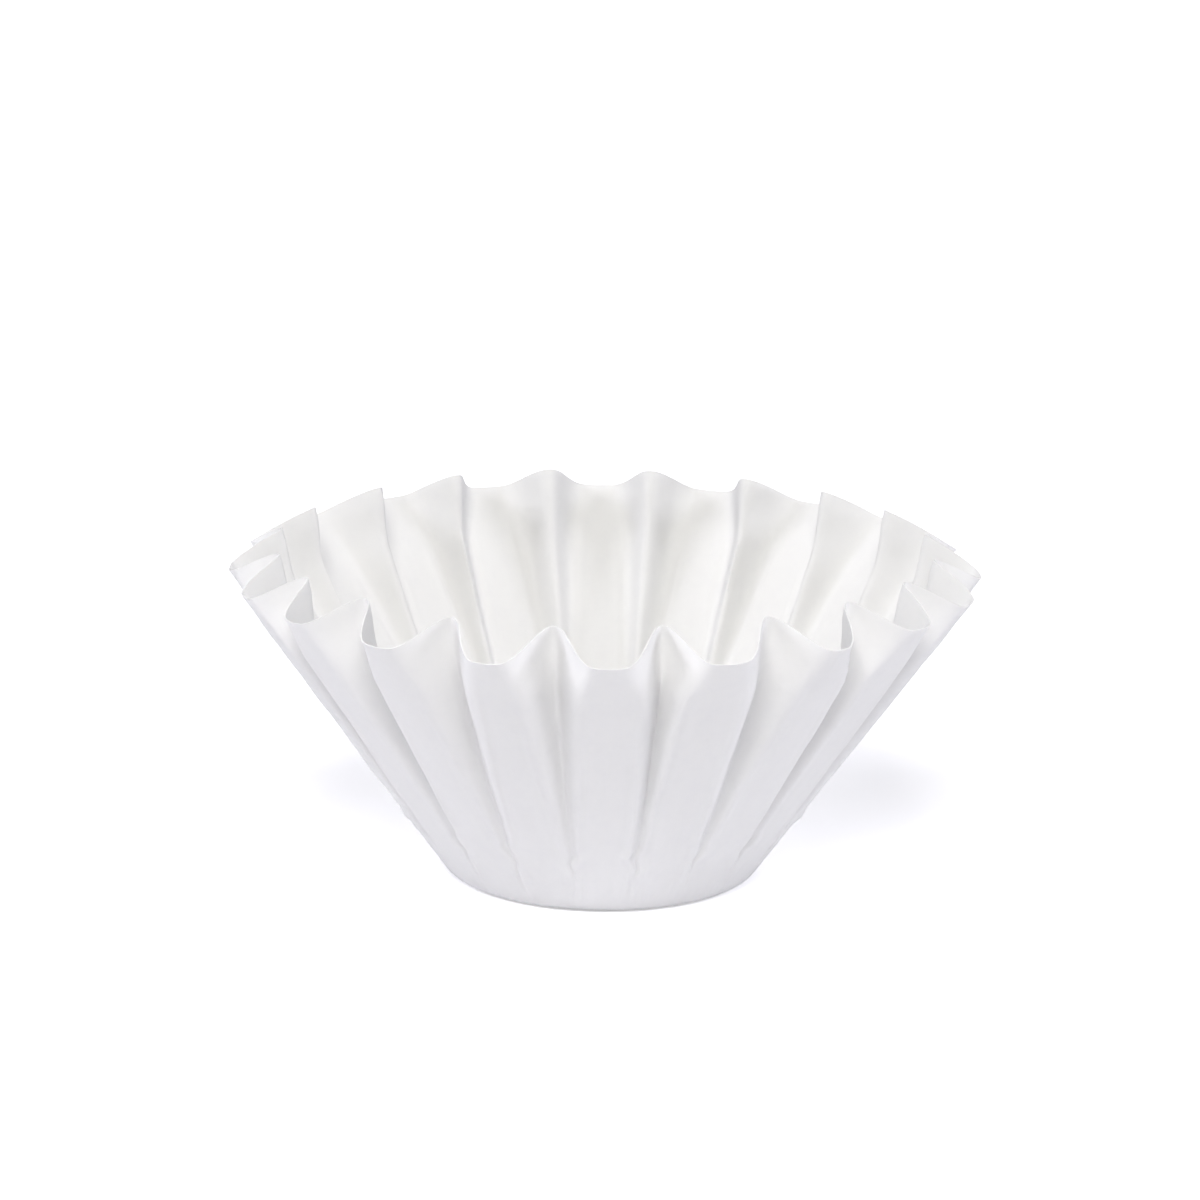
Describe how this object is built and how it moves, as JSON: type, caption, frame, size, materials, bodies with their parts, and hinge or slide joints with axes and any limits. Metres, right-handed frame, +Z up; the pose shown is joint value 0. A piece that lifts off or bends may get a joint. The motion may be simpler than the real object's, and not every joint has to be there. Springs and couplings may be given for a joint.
{
  "type": "paper coffee filter",
  "caption": "Fluted paper basket filter: a round sheet pressed into a cup with a flat base and a deeply fluted, flaring wall, for holding ground coffee in a brewer.",
  "frame": {"origin": "middle of the flat base, on its underside", "axes": "+Z up through the middle of the cup's mouth; a flute crest points along -Y"},
  "size_m": [0.13, 0.13, 0.0586],
  "materials": {
    "paper": "matt white filter paper, soft and faintly fibrous"
  },
  "bodies": {
    "root": {"filter": "paper"}
  },
  "joints": []
}
